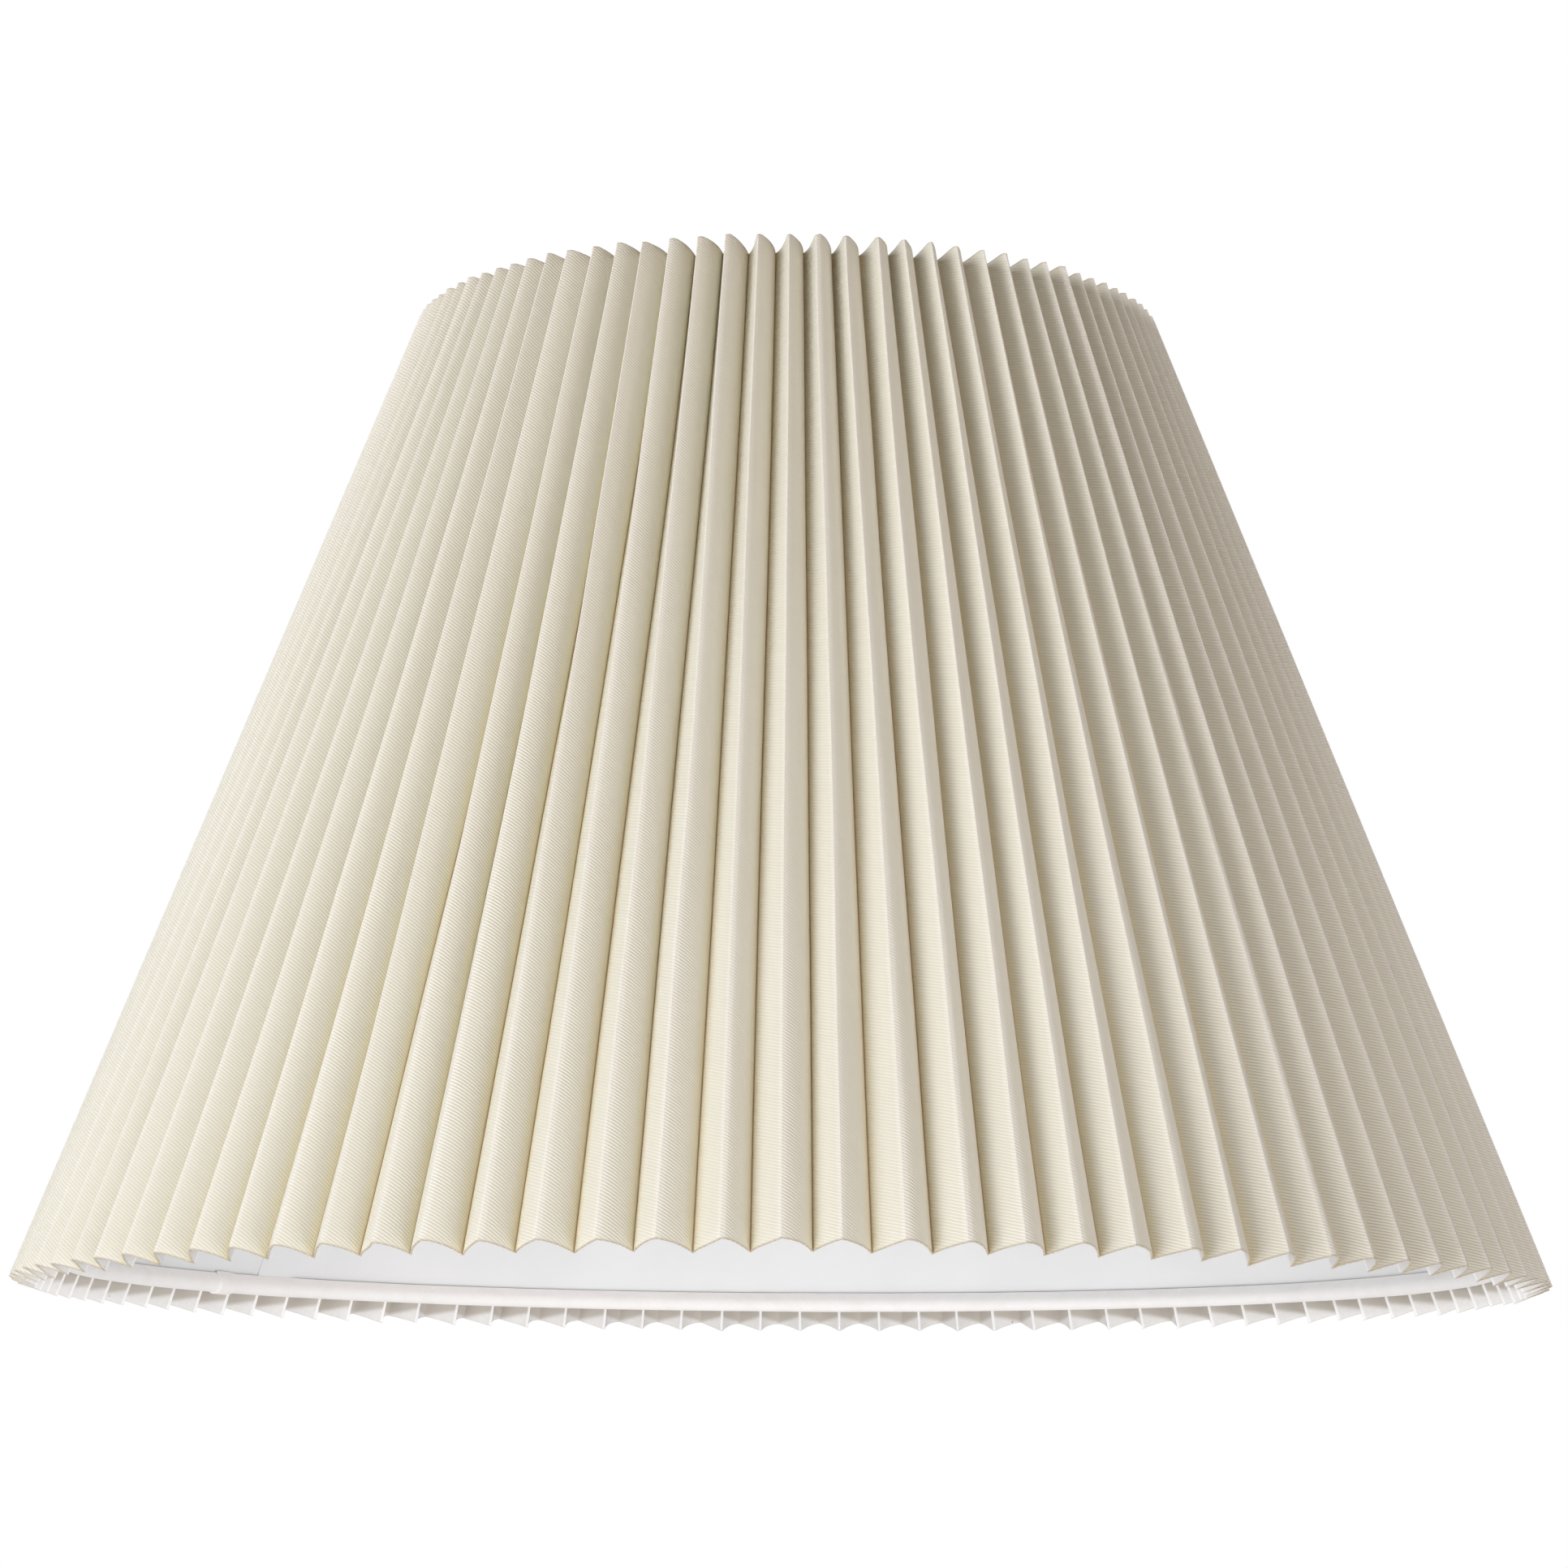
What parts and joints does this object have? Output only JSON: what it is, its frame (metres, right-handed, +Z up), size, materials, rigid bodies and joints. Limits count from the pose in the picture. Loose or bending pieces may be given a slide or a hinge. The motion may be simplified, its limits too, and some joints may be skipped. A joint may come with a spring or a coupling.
{
  "type": "lamp shade",
  "caption": "Empire lamp shade: a pleated cream fabric cover over a smooth white conical liner, with a rolled trim at each rim and a wire spider that sits on a lamp's harp.",
  "frame": {"origin": "on the shade's axis, at the height of the lowest tips of the pleats, which it stands on", "axes": "+Z up along the shade's axis, from the wide rim to the narrow rim; the pictured front faces -Y, and +X is to the viewer's right"},
  "size_m": [0.4066, 0.4067, 0.2656],
  "materials": {
    "cover_cloth": "fine twill, matt with a slight sheen",
    "liner_styrene": "smooth white styrene sheet",
    "trim_tape": "soft white tape, rolled and glued",
    "zinc_steel": "zinc plated wire and washer"
  },
  "bodies": {
    "root": {"cover_front": "cover_cloth", "cover_back": "cover_cloth", "liner": "liner_styrene", "bottom_ring": "zinc_steel", "top_ring": "zinc_steel", "bottom_trim": "trim_tape", "top_trim": "trim_tape", "spider_arm_1": "zinc_steel", "spider_arm_2": "zinc_steel", "spider_arm_3": "zinc_steel", "fitter_washer": "zinc_steel"}
  },
  "joints": []
}
